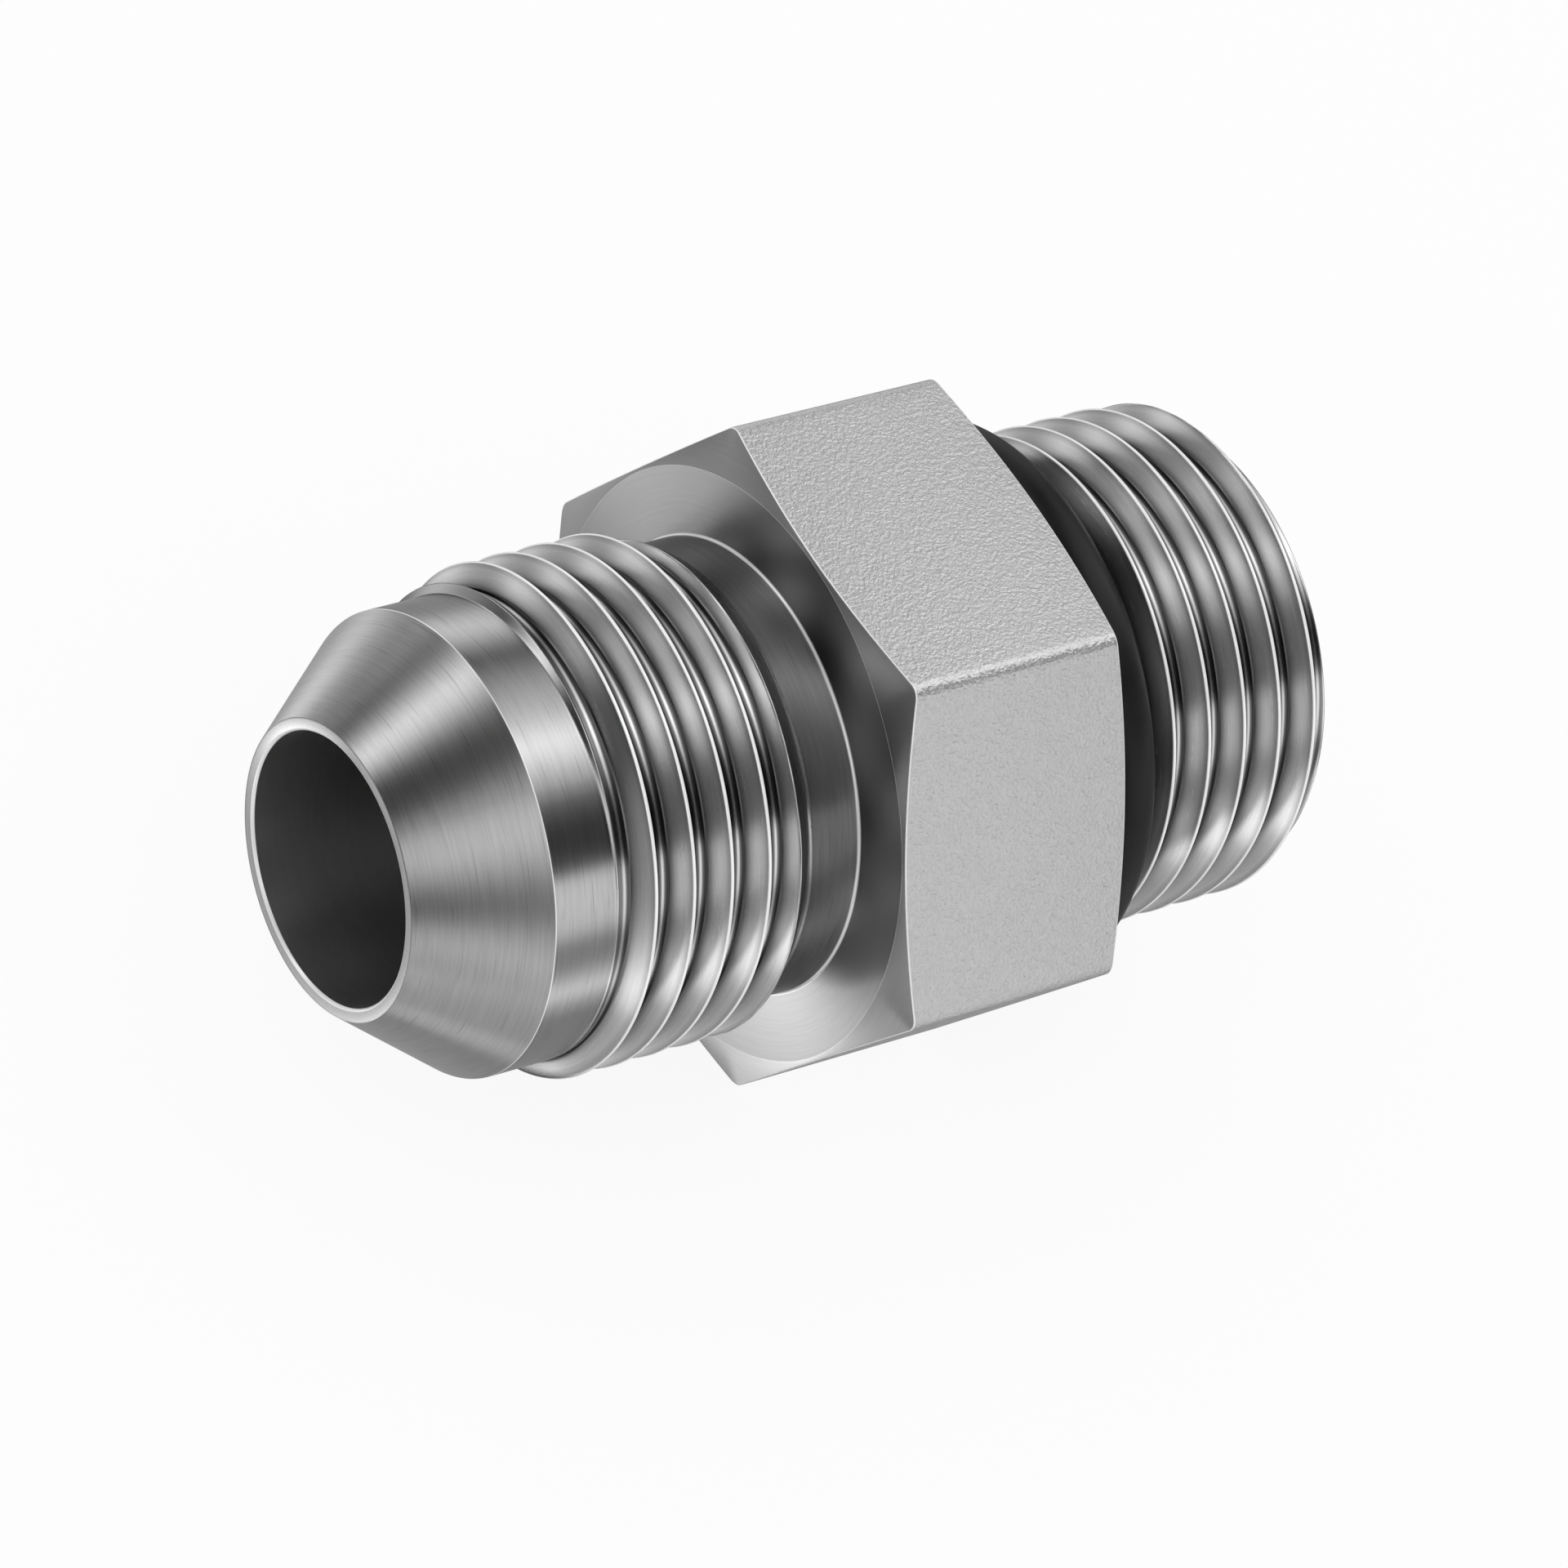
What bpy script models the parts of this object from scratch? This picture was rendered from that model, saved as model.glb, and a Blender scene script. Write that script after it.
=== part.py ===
"""Straight hydraulic adapter: a 37 degree flare end, a hexagon and an O-ring stud end.

The adapter lies on one flat of its hexagon, with its axis along X and the flare end towards -X.
The origin is on the floor, below the middle of its length. All sizes are in metres.
"""

import math

import bmesh
import bpy
from mathutils import Matrix, Vector

# Hexagon, turned from bar with rounded long edges
HEX_ACROSS_FLATS = 0.022225
HEX_LENGTH = 0.00966
HEX_EDGE_RADIUS = 0.0006
HEX_FACE_DIAMETER = 0.0219
HEX_CHAMFER_ANGLE = math.radians(15)

# Through bore and its two mouths
BORE_DIAMETER = 0.00995
NOSE_MOUTH_CHAMFER = 0.0001
STUD_MOUTH_CHAMFER = 0.0004

# Flare end, from the hexagon's front face to the nose. Depths are below the thread's crests
FLARE_END_LENGTH = 0.01675
FLARE_CONE_ANGLE = math.radians(37)
NOSE_DIAMETER = 0.01092
NOSE_EDGE_RADIUS = 0.00015
LAND_DEPTH = 0.00083
LAND_LENGTH = 0.0025
LAND_EDGE_RADIUS = 0.0003
FLARE_THREAD_DIAMETER = 0.01856
FLARE_THREAD_PITCH = 0.0254 / 16
FLARE_THREAD_START_ANGLE = math.radians(45)
FLARE_THREAD_ROOT_ON_TOP = -0.00811
FLARE_THREAD_LEAD_IN_START = 0.00018
FLARE_THREAD_LEAD_IN_TURNS = 1 / 8

# Plain neck between the flare thread and the hexagon, turned below the thread's crests
NECK_DEPTH = 0.00088
NECK_LENGTH = 0.00314
NECK_RUNOUT_ANGLE = math.radians(45)
NECK_RUNOUT_FILLET = 0.0005
NECK_FILLET = 0.0003

# Stud end, from the hexagon's back face to the end. Depths are below the thread's crests
STUD_LENGTH = 0.01107
STUD_THREAD_DIAMETER = 0.01856
STUD_THREAD_PITCH = 0.0254 / 16
STUD_THREAD_START_ANGLE = math.radians(60)
STUD_THREAD_ROOT_ON_TOP = 0.00462
STUD_END_DEPTH = 0.00088
STUD_END_ANGLE = math.radians(45)
SEAL_GROOVE_DEPTH = 0.00088
SEAL_GROOVE_WIDTH = 0.0027
SEAL_GROOVE_FILLET = 0.0002

# O-ring and the clearance to the groove that holds it
SEAL_SECTION_DIAMETER = 0.0021
SEAL_CLEARANCE = 0.0001

# Form of both threads. The sign is +1 for a right-hand helix and -1 for a left-hand one
THREAD_HAND = -1
THREAD_FLANK_ANGLE = math.radians(30)
CREST_SHARE_OF_PITCH = 1 / 8
ROOT_SHARE_OF_PITCH = 1 / 4
CUTTER_OVERHANG = 0.00005
CUTTER_STEP_OFFSET = 0.45

# Fineness of the round forms
TURN_STEPS = 48
ARC_STEPS = 3
SEAL_SECTION_STEPS = 12
HEX_EDGE_STEPS = 4

# Values that follow from the driving dimensions
HEX_CORNER_RADIUS = HEX_ACROSS_FLATS / 2 / math.cos(math.pi / 6)
NOSE_X = -FLARE_END_LENGTH
HEX_BACK_X = HEX_LENGTH
STUD_END_X = HEX_BACK_X + STUD_LENGTH
FLARE_THREAD_RADIUS = FLARE_THREAD_DIAMETER / 2
LAND_RADIUS = FLARE_THREAD_RADIUS - LAND_DEPTH
CONE_END_X = NOSE_X + (LAND_RADIUS - NOSE_DIAMETER / 2) / math.tan(FLARE_CONE_ANGLE)
LAND_END_X = CONE_END_X + LAND_LENGTH
STUD_THREAD_RADIUS = STUD_THREAD_DIAMETER / 2
SEAL_GROOVE_RADIUS = STUD_THREAD_RADIUS - SEAL_GROOVE_DEPTH
TRIM_MARGIN = 0.001


def clear_scene():
    """Remove every object that the scene starts with."""
    for thing in list(bpy.data.objects):
        bpy.data.objects.remove(thing, do_unlink=True)


def make_material(name, colour, metallic, roughness):
    """Make a Principled material of one colour."""
    material = bpy.data.materials.new(name)
    material.use_nodes = True
    shader = material.node_tree.nodes["Principled BSDF"]
    shader.inputs["Base Color"].default_value = (*colour, 1)
    shader.inputs["Metallic"].default_value = metallic
    shader.inputs["Roughness"].default_value = roughness
    material.diffuse_color = (*colour, 1)
    return material


def add_object(name, bm, material=None):
    """Turn a finished bmesh into an object whose axis lies over the floor."""
    bmesh.ops.recalc_face_normals(bm, faces=bm.faces)
    mesh = bpy.data.meshes.new(name)
    bm.to_mesh(mesh)
    bm.free()
    mesh.shade_smooth()
    mesh.set_sharp_from_angle(angle=math.radians(35))
    if material:
        mesh.materials.append(material)
    thing = bpy.data.objects.new(name, mesh)
    thing.location = (-(NOSE_X + STUD_END_X) / 2, 0, HEX_ACROSS_FLATS / 2)
    bpy.context.collection.objects.link(thing)
    return thing


def cut_with(target, cutter, operation):
    """Cut the target with another object, which stays as a wire guide."""
    cutter.hide_render = True
    cutter.display_type = "WIRE"
    step = target.modifiers.new(cutter.name, "BOOLEAN")
    step.operation = operation
    step.solver = "EXACT"
    step.object = cutter


def arc(centre_x, centre_r, radius, first_angle, last_angle, steps=ARC_STEPS):
    """Points of an arc in the plane of x and r, with angles counted from +x towards +r."""
    points = []
    for step in range(steps + 1):
        angle = first_angle + (last_angle - first_angle) * step / steps
        points.append((centre_x + radius * math.cos(angle), centre_r + radius * math.sin(angle)))
    return points


def spin_profile(profile):
    """Spin a closed profile of (x, r) points once round the X axis."""
    bm = bmesh.new()
    verts = [bm.verts.new((x, 0, r)) for x, r in profile]
    edges = [bm.edges.new(pair) for pair in zip(verts, verts[1:] + verts[:1])]
    bmesh.ops.spin(bm, geom=verts + edges, cent=(0, 0, 0), axis=(1, 0, 0),
                   angle=2 * math.pi, steps=TURN_STEPS, use_merge=True)
    return bm


def flare_profile():
    """Outside of the flare end, from the nose to the hexagon's front face."""
    neck_r = FLARE_THREAD_RADIUS - NECK_DEPTH
    thread_start_x = LAND_END_X + LAND_DEPTH / math.tan(FLARE_THREAD_START_ANGLE)
    runout_end_x = -NECK_LENGTH + NECK_DEPTH / math.tan(NECK_RUNOUT_ANGLE)
    edge_tangent = LAND_EDGE_RADIUS * math.tan(FLARE_CONE_ANGLE / 2)
    nose_tangent = NOSE_EDGE_RADIUS * math.tan((math.pi / 2 - FLARE_CONE_ANGLE) / 2)
    foot_tangent = NECK_RUNOUT_FILLET * math.tan(NECK_RUNOUT_ANGLE / 2)
    upright = math.pi / 2
    return [
        *arc(NOSE_X + NOSE_EDGE_RADIUS, NOSE_DIAMETER / 2 - nose_tangent, NOSE_EDGE_RADIUS,
             math.pi, upright + FLARE_CONE_ANGLE),
        *arc(CONE_END_X + edge_tangent, LAND_RADIUS - LAND_EDGE_RADIUS, LAND_EDGE_RADIUS,
             upright + FLARE_CONE_ANGLE, upright),
        (LAND_END_X, LAND_RADIUS),
        (thread_start_x, FLARE_THREAD_RADIUS),
        (-NECK_LENGTH, FLARE_THREAD_RADIUS),
        *arc(runout_end_x + foot_tangent, neck_r + NECK_RUNOUT_FILLET, NECK_RUNOUT_FILLET,
             -upright - NECK_RUNOUT_ANGLE, -upright),
        *arc(-NECK_FILLET, neck_r + NECK_FILLET, NECK_FILLET, -upright, 0),
    ]


def hex_trim_profile():
    """Turned outline of the hexagon: its two faces and chamfers, wider than its corners."""
    face_r = HEX_FACE_DIAMETER / 2
    trim_r = HEX_CORNER_RADIUS + TRIM_MARGIN
    chamfer_x = (trim_r - face_r) * math.tan(HEX_CHAMFER_ANGLE)
    return [
        (0, face_r),
        (chamfer_x, trim_r),
        (HEX_BACK_X - chamfer_x, trim_r),
        (HEX_BACK_X, face_r),
    ]


def stud_profile():
    """Outside of the stud end, from the hexagon's back face to the end."""
    groove_end_x = HEX_BACK_X + SEAL_GROOVE_WIDTH
    thread_start_x = groove_end_x + SEAL_GROOVE_DEPTH / math.tan(STUD_THREAD_START_ANGLE)
    end_chamfer_x = STUD_END_X - STUD_END_DEPTH / math.tan(STUD_END_ANGLE)
    return [
        *arc(HEX_BACK_X + SEAL_GROOVE_FILLET, SEAL_GROOVE_RADIUS + SEAL_GROOVE_FILLET,
             SEAL_GROOVE_FILLET, math.pi, math.pi * 3 / 2),
        (groove_end_x, SEAL_GROOVE_RADIUS),
        (thread_start_x, STUD_THREAD_RADIUS),
        (end_chamfer_x, STUD_THREAD_RADIUS),
        (STUD_END_X, STUD_THREAD_RADIUS - STUD_END_DEPTH),
    ]


def bore_profile():
    """Inside of the through bore, from the stud end back to the nose."""
    bore_r = BORE_DIAMETER / 2
    return [
        (STUD_END_X, bore_r + STUD_MOUTH_CHAMFER),
        (STUD_END_X - STUD_MOUTH_CHAMFER, bore_r),
        (NOSE_X + NOSE_MOUTH_CHAMFER, bore_r),
        (NOSE_X, bore_r + NOSE_MOUTH_CHAMFER),
    ]


def make_hex_bar():
    """Make the hexagonal bar, longer than the adapter, with its long edges rounded."""
    bm = bmesh.new()
    bmesh.ops.create_circle(bm, cap_ends=True, segments=6, radius=HEX_CORNER_RADIUS)
    bmesh.ops.rotate(bm, verts=bm.verts, matrix=Matrix.Rotation(math.pi / 2, 3, "Y"))
    bmesh.ops.translate(bm, verts=bm.verts, vec=(NOSE_X - TRIM_MARGIN, 0, 0))
    length = STUD_END_X - NOSE_X + 2 * TRIM_MARGIN
    grown = bmesh.ops.extrude_face_region(bm, geom=bm.faces[:])
    top = [item for item in grown["geom"] if isinstance(item, bmesh.types.BMVert)]
    bmesh.ops.translate(bm, verts=top, vec=(length, 0, 0))
    long_edges = [edge for edge in bm.edges if abs(edge.verts[0].co.x - edge.verts[1].co.x) > length / 2]
    bmesh.ops.bevel(bm, geom=long_edges, offset=HEX_EDGE_RADIUS * math.tan(math.pi / 6),
                    segments=HEX_EDGE_STEPS, profile=0.5, affect="EDGES")
    return add_object("hex_bar", bm)


def groove_section(pitch, thread_r):
    """Section of one thread groove about x = 0: two straight flanks and a flat root."""
    slope = math.tan(THREAD_FLANK_ANGLE)
    root_half_width = ROOT_SHARE_OF_PITCH * pitch / 2
    top_half_width = (1 - CREST_SHARE_OF_PITCH) * pitch / 2
    root_r = thread_r - (top_half_width - root_half_width) / slope
    return [
        (-top_half_width - CUTTER_OVERHANG * slope, thread_r + CUTTER_OVERHANG),
        (-root_half_width, root_r),
        (root_half_width, root_r),
        (top_half_width + CUTTER_OVERHANG * slope, thread_r + CUTTER_OVERHANG),
    ]


def make_thread_groove(name, pitch, thread_r, root_on_top, first_x, last_x, lead_in_turns=0.0):
    """Make the helical cutter of a thread groove, whose middle runs from first_x to last_x.

    It starts clear of the thread and sinks to its full depth over the lead-in.
    """
    section = groove_section(pitch, thread_r)
    depth = section[0][1] - section[1][1]
    advance = pitch / TURN_STEPS
    first_step = math.ceil((first_x - root_on_top) / advance)
    last_step = math.floor((last_x - root_on_top) / advance)
    lead_in_steps = round(lead_in_turns * TURN_STEPS)
    bm = bmesh.new()
    rings = []
    for step in range(first_step, last_step + 1):
        turned_steps = step + CUTTER_STEP_OFFSET
        middle_x = root_on_top + turned_steps * advance
        lift = depth * max(0, 1 - (step - first_step) / lead_in_steps) if lead_in_steps else 0
        turn = Matrix.Rotation(THREAD_HAND * 2 * math.pi * turned_steps / TURN_STEPS, 3, "X")
        rings.append([bm.verts.new(turn @ Vector((middle_x + x, 0, r + lift))) for x, r in section])
    for ring, following in zip(rings, rings[1:]):
        for side in range(len(section)):
            after = (side + 1) % len(section)
            bm.faces.new((ring[side], ring[after], following[after], following[side]))
    bm.faces.new(rings[0])
    bm.faces.new(rings[-1])
    return add_object(name, bm)


def make_adapter_body(material):
    """Turn the body from hexagonal bar and cut its two threads."""
    profile = flare_profile() + hex_trim_profile() + stud_profile() + bore_profile()
    body = add_object("adapter_body", spin_profile(profile), material)
    cut_with(body, make_hex_bar(), "INTERSECT")

    flare_groove = make_thread_groove(
        "flare_thread_groove", FLARE_THREAD_PITCH, FLARE_THREAD_RADIUS, FLARE_THREAD_ROOT_ON_TOP,
        LAND_END_X + FLARE_THREAD_LEAD_IN_START, -NECK_LENGTH / 2, FLARE_THREAD_LEAD_IN_TURNS)
    cut_with(body, flare_groove, "DIFFERENCE")

    stud_groove = make_thread_groove(
        "stud_thread_groove", STUD_THREAD_PITCH, STUD_THREAD_RADIUS,
        HEX_BACK_X + STUD_THREAD_ROOT_ON_TOP,
        HEX_BACK_X + STUD_THREAD_PITCH / 2 + SEAL_GROOVE_FILLET, STUD_END_X + STUD_THREAD_PITCH)
    cut_with(body, stud_groove, "DIFFERENCE")
    return body


def make_o_ring(material):
    """Make the O-ring, close against the back face of the hexagon and round its groove."""
    section_r = SEAL_SECTION_DIAMETER / 2
    centre_x = HEX_BACK_X + SEAL_CLEARANCE + section_r
    centre_r = SEAL_GROOVE_RADIUS + SEAL_CLEARANCE + section_r
    section = arc(centre_x, centre_r, section_r, 0, 2 * math.pi, SEAL_SECTION_STEPS)[:-1]
    return add_object("o_ring", spin_profile(section), material)


def main():
    """Build the adapter."""
    clear_scene()
    steel = make_material("plated_steel", (0.56, 0.57, 0.58), 1.0, 0.32)
    rubber = make_material("black_rubber", (0.018, 0.018, 0.019), 0.0, 0.55)
    make_adapter_body(steel)
    make_o_ring(rubber)


main()
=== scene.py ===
"""Studio picture of a straight hydraulic adapter.

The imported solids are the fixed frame. The body is shown by a finer turned mesh whose two helical
threads, rounded edges and chamfers lie where the solids have them, and the O-ring by a finer ring.
All sizes are in metres. Angles round the adapter's axis are counted from straight up, and grow
towards the camera's side.
"""

import logging
import math
from collections.abc import Callable
from dataclasses import dataclass, field
from enum import Enum, IntEnum
from functools import partial

import bmesh
import bpy
import numpy as np
from bpy.types import Material, Node, NodeSocket, NodeTree, Object
from mathutils import Matrix, Vector

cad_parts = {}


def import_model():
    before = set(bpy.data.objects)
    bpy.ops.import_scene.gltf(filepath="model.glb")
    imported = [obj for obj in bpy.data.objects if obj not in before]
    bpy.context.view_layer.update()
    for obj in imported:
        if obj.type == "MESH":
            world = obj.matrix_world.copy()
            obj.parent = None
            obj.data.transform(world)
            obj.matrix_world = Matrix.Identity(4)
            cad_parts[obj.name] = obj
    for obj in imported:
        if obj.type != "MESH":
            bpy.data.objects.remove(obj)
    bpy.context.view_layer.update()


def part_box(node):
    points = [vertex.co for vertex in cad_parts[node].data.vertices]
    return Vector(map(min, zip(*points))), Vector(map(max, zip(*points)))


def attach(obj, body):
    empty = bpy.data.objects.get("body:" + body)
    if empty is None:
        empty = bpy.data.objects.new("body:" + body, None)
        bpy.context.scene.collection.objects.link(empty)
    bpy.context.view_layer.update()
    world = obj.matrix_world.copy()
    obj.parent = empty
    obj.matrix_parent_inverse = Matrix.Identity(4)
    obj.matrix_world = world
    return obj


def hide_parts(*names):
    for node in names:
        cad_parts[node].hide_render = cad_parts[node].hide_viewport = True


logging.basicConfig(level=logging.INFO, format="%(message)s")
log = logging.getLogger("adapter")

FLARE_END_LENGTH = 0.01675
FULL_TURN = 2 * math.pi

Array = np.ndarray
Colour = tuple[float, float, float]
RingShape = Callable[[Array, Array], "Ring"]


class Zone(IntEnum):
    """Finish of a band of the body, which is also its material's index."""

    TURNED = 0
    THREAD = 1
    BLASTED = 2
    BORE = 3
    FACED = 4


class Hand(Enum):
    """Lean of a helix, as the sign of its advance along +X for a right-hand turn."""

    LEFT = -1
    RIGHT = 1


def grey(tone: float) -> Colour:
    """Colour with the same share of red, green and blue."""
    return (tone, tone, tone)


@dataclass
class Nodes:
    """Short calls for adding nodes to the tree of one material or group."""

    tree: NodeTree

    def add(self, kind: str, inputs: dict[str | int, object] | None = None,
            **settings: object) -> Node:
        """Add a node.

        Args:
            kind: The node's type name.
            inputs: Socket name or number to a value, or to the output socket that feeds it.
            settings: Properties of the node.

        Returns:
            The new node.
        """
        node = self.tree.nodes.new(kind)
        for name, value in settings.items():
            setattr(node, name, value)
        for name, value in (inputs or {}).items():
            if isinstance(value, NodeSocket):
                self.tree.links.new(value, node.inputs[name])
            else:
                node.inputs[name].default_value = value
        return node

    def math(self, operation: str, *values: object, clamp: bool = False) -> NodeSocket:
        """Add a Math node and give its result."""
        node = self.add("ShaderNodeMath", dict(enumerate(values)), operation=operation, use_clamp=clamp)
        return node.outputs[0]

    def remap(self, value: NodeSocket, low: float, high: float, out_low: float,
              out_high: float) -> NodeSocket:
        """Map a value smoothly from one range to another.

        Args:
            value: The value.
            low: Start of its range.
            high: End of its range.
            out_low: Result at the start.
            out_high: Result at the end.

        Returns:
            The mapped value.
        """
        node = self.add("ShaderNodeMapRange",
                        {"Value": value, "From Min": low, "From Max": high,
                         "To Min": out_low, "To Max": out_high},
                        interpolation_type="SMOOTHSTEP")
        return node.outputs["Result"]

    def mix_colours(self, share: object, first: object, second: object,
                    blend_type: str = "MIX") -> NodeSocket:
        """Mix two colours, with a share of the second."""
        return self.add("ShaderNodeMix", {0: share, 6: first, 7: second}, data_type="RGBA",
                        blend_type=blend_type).outputs[2]

    def mix_values(self, share: object, first: object, second: object) -> NodeSocket:
        """Mix two numbers, with a share of the second."""
        return self.add("ShaderNodeMix", {0: share, 2: first, 3: second}, data_type="FLOAT").outputs[0]

    def bump(self, height: NodeSocket, depth: float,
             normal: NodeSocket | None = None) -> NodeSocket:
        """Raise a relief.

        Args:
            height: Its height, from 0 to 1.
            depth: Its depth.
            normal: The normal that it stands on, or the surface's own.

        Returns:
            The relief's normal.
        """
        inputs = {"Height": height, "Strength": 1.0, "Distance": depth}
        if normal is not None:
            inputs["Normal"] = normal
        return self.add("ShaderNodeBump", inputs).outputs["Normal"]


def new_group(name: str, inputs: dict[str, tuple[str, float | None]],
              outputs: tuple[str, ...]) -> NodeTree:
    """Start a shader node group with named sockets.

    Args:
        name: The group's name.
        inputs: Input name to its kind of socket and its default.
        outputs: Names of its outputs, which are all numbers.

    Returns:
        The group's tree, with its input and output nodes in place.
    """
    tree = bpy.data.node_groups.new(name, "ShaderNodeTree")
    for label, (kind, default) in inputs.items():
        socket = tree.interface.new_socket(name=label, in_out="INPUT", socket_type=kind)
        if default is not None:
            socket.default_value = default
    for label in outputs:
        tree.interface.new_socket(name=label, in_out="OUTPUT", socket_type="NodeSocketFloat")
    tree.nodes.new("NodeGroupInput")
    tree.nodes.new("NodeGroupOutput")
    return tree


def turning_marks() -> NodeTree:
    """Build the group of fine tool marks that run round the axis.

    Returns:
        The group: Height of the marks, Streak for uneven tone and Scratch for rare deeper lines.
    """
    radius_into_x = 0.83
    x_into_radius = -0.31
    streaks_per_metre = 8500.0
    streak_arc = 3.0
    scratches_per_metre = 14000.0
    scratch_arc = 3.5
    scratch_start = 0.70
    scratch_full = 0.78

    tree = new_group(
        "turning_marks",
        {"Vector": ("NodeSocketVector", None), "Marks per metre": ("NodeSocketFloat", 9000.0),
         "Arc length": ("NodeSocketFloat", 4.0)},
        ("Height", "Streak", "Scratch"))
    nodes = Nodes(tree)
    given = tree.nodes["Group Input"].outputs
    parts = nodes.add("ShaderNodeSeparateXYZ", {0: given["Vector"]}).outputs
    radius = nodes.math("SQRT", nodes.math("ADD", nodes.math("POWER", parts["Y"], 2.0),
                                           nodes.math("POWER", parts["Z"], 2.0)))
    turn = nodes.math("ARCTAN2", parts["Y"], parts["Z"])

    leant_x = nodes.math("MULTIPLY_ADD", radius, radius_into_x, parts["X"])
    leant_radius = nodes.math("MULTIPLY_ADD", parts["X"], x_into_radius, radius)

    def rings(density: object, arc: object) -> NodeSocket:
        """Coordinates that change fast along the axis and radius and slowly round them.

        Args:
            density: How fast they change, per metre.
            arc: How fast they change round the axis, per radian.

        Returns:
            The coordinates.
        """
        pairs = ((leant_x, density), (leant_radius, density), (turn, arc))
        scaled = {axis: nodes.math("MULTIPLY", *pair) for axis, pair in enumerate(pairs)}
        return nodes.add("ShaderNodeCombineXYZ", scaled).outputs[0]

    fine = nodes.add("ShaderNodeTexNoise", {"Vector": rings(given["Marks per metre"], given["Arc length"]),
                                            "Scale": 1.0, "Detail": 3.0, "Roughness": 0.6})
    broad = nodes.add("ShaderNodeTexNoise", {"Vector": rings(streaks_per_metre, streak_arc),
                                             "Scale": 1.0, "Detail": 3.0, "Roughness": 0.65})
    sparse = nodes.add("ShaderNodeTexNoise", {"Vector": rings(scratches_per_metre, scratch_arc),
                                              "Scale": 1.0, "Detail": 0.0})
    scratch = nodes.remap(sparse.outputs["Fac"], scratch_start, scratch_full, 0.0, 1.0)
    out = tree.nodes["Group Output"].inputs
    tree.links.new(fine.outputs["Fac"], out["Height"])
    tree.links.new(broad.outputs["Fac"], out["Streak"])
    tree.links.new(scratch, out["Scratch"])
    return tree


def surface_grain() -> NodeTree:
    """Build the group of an even grain, as blasting, plating or a mould leaves it.

    Returns:
        The group: Height of the grain, Speck for small pits and Cloud for a broad uneven tone.
    """
    pits_per_grain = 0.45
    pit_floor = 0.05
    pit_rim = 0.22
    clouds_per_metre = 420.0

    tree = new_group(
        "surface_grain",
        {"Vector": ("NodeSocketVector", None), "Grains per metre": ("NodeSocketFloat", 5000.0)},
        ("Height", "Speck", "Cloud"))
    nodes = Nodes(tree)
    given = tree.nodes["Group Input"].outputs
    grain = nodes.add("ShaderNodeTexNoise", {"Vector": given["Vector"], "Scale": given["Grains per metre"],
                                             "Detail": 2.5, "Roughness": 0.55})
    pits = nodes.math("MULTIPLY", given["Grains per metre"], pits_per_grain)
    speck = nodes.add("ShaderNodeTexVoronoi", {"Vector": given["Vector"], "Scale": pits})
    cloud = nodes.add("ShaderNodeTexNoise", {"Vector": given["Vector"], "Scale": clouds_per_metre,
                                             "Detail": 3.0})
    out = tree.nodes["Group Output"].inputs
    tree.links.new(grain.outputs["Fac"], out["Height"])
    tree.links.new(nodes.remap(speck.outputs["Distance"], pit_floor, pit_rim, 1.0, 0.0), out["Speck"])
    tree.links.new(cloud.outputs["Fac"], out["Cloud"])
    return tree


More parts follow.
